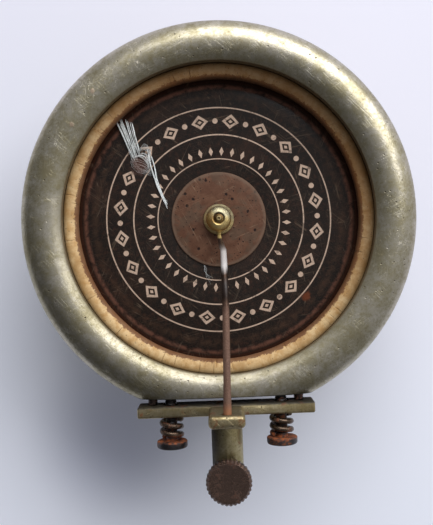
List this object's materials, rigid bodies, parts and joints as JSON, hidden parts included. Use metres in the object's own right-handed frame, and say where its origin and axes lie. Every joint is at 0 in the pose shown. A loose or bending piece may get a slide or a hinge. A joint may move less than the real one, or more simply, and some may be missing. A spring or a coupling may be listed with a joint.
{
  "type": "gramophone soundbox",
  "caption": "Round gramophone soundbox with a rounded bezel, sprung rocking crossbar, stylus bar, knurled needle clamp and rear collar; turns groove motion into sound.",
  "frame": {"origin": "under the middle of the whole soundbox's box, in the plane of the collar's rear edge; the case's axis is at y = 6.175 mm", "axes": "+Z out of the front of the case, -Y from the case towards the needle holder, +X to the right seen from the front"},
  "size_m": [0.06, 0.0724, 0.0341],
  "materials": {
    "case_nickel": "tarnished nickel plate, satin, with dull patches",
    "crossbar_nickel": "worn nickel plate with sheared, grainy edges",
    "rusty_steel": "rusted steel",
    "dark_steel": "dull dark steel",
    "hub_brass": "aged brass",
    "aged_rubber": "hardened, cracked cream rubber",
    "black_rubber": "dull black rubber",
    "printed_mica": "glossy mica over a dark print",
    "brown_fibre": "brown fibre under gloss"
  },
  "bodies": {
    "case": {"body_shell": "case_nickel", "front_gasket": "aged_rubber", "rear_gasket": "aged_rubber", "left_pivot": "dark_steel", "right_pivot": "dark_steel", "back_plate": "case_nickel", "back_plate_screw_1": "dark_steel", "back_plate_screw_2": "dark_steel", "back_plate_screw_3": "dark_steel", "rubber_isolator": "black_rubber", "isolator_clamp_ring": "case_nickel", "clamp_screw_1": "dark_steel", "clamp_screw_2": "dark_steel", "clamp_screw_3": "dark_steel", "tone_arm_collar": "case_nickel"},
    "stylus": {"crossbar": "crossbar_nickel", "stylus_bar": "rusty_steel", "needle_holder": "crossbar_nickel"},
    "diaphragm_middle": {"diaphragm": "printed_mica", "centre_disc": "brown_fibre", "hub_bolt": "hub_brass", "hub_back_washer": "hub_brass", "hub_front_washer": "hub_brass", "hub_nut": "hub_brass"},
    "needle_screw": {"needle_thumbscrew": "rusty_steel"},
    "left_spring": {"left_tension_spring": "rusty_steel"},
    "left_screw": {"left_tension_screw": "rusty_steel"},
    "right_spring": {"right_tension_spring": "rusty_steel"},
    "right_screw": {"right_tension_screw": "rusty_steel"}
  },
  "joints": [
    {"name": "stylus_rock", "type": "hinge", "parent": "case", "child": "stylus", "pos_m": [0, -0.02233, 0.02463], "axis": [1, 0, 0], "range_deg": [-0.41, 0.41], "stiffness_Nm_per_rad": 0.2},
    {"name": "diaphragm_travel", "type": "slide", "parent": "case", "child": "diaphragm_middle", "axis": [0, 0, 1], "range_m": [-0.0002, 0.0002]},
    {"name": "needle_screw_turn", "type": "hinge", "parent": "stylus", "child": "needle_screw", "pos_m": [0, -0.03277, 0.02673], "axis": [0, 0, 1], "range_deg": [-180, 720]},
    {"name": "left_screw_travel", "type": "slide", "parent": "case", "child": "left_spring", "axis": [0, 1, 0], "range_m": [-0.0008, 0.0004], "deforming": ["left_tension_spring"]},
    {"name": "left_screw_turn", "type": "hinge", "parent": "left_spring", "child": "left_screw", "pos_m": [-0.0083, -0.02712, 0.02463], "axis": [0, 1, 0], "range_deg": [-720, 360]},
    {"name": "right_screw_travel", "type": "slide", "parent": "case", "child": "right_spring", "axis": [0, 1, 0], "range_m": [-0.0008, 0.0004], "deforming": ["right_tension_spring"]},
    {"name": "right_screw_turn", "type": "hinge", "parent": "right_spring", "child": "right_screw", "pos_m": [0.0083, -0.02712, 0.02463], "axis": [0, 1, 0], "range_deg": [-720, 360]}
  ],
  "couplings": [
    {"joint": "stylus_rock", "follows": "diaphragm_travel", "rad_per_m": 35.088},
    {"joint": "left_screw_turn", "follows": "left_screw_travel", "rad_per_m": 15708},
    {"joint": "right_screw_turn", "follows": "right_screw_travel", "rad_per_m": 15708}
  ]
}
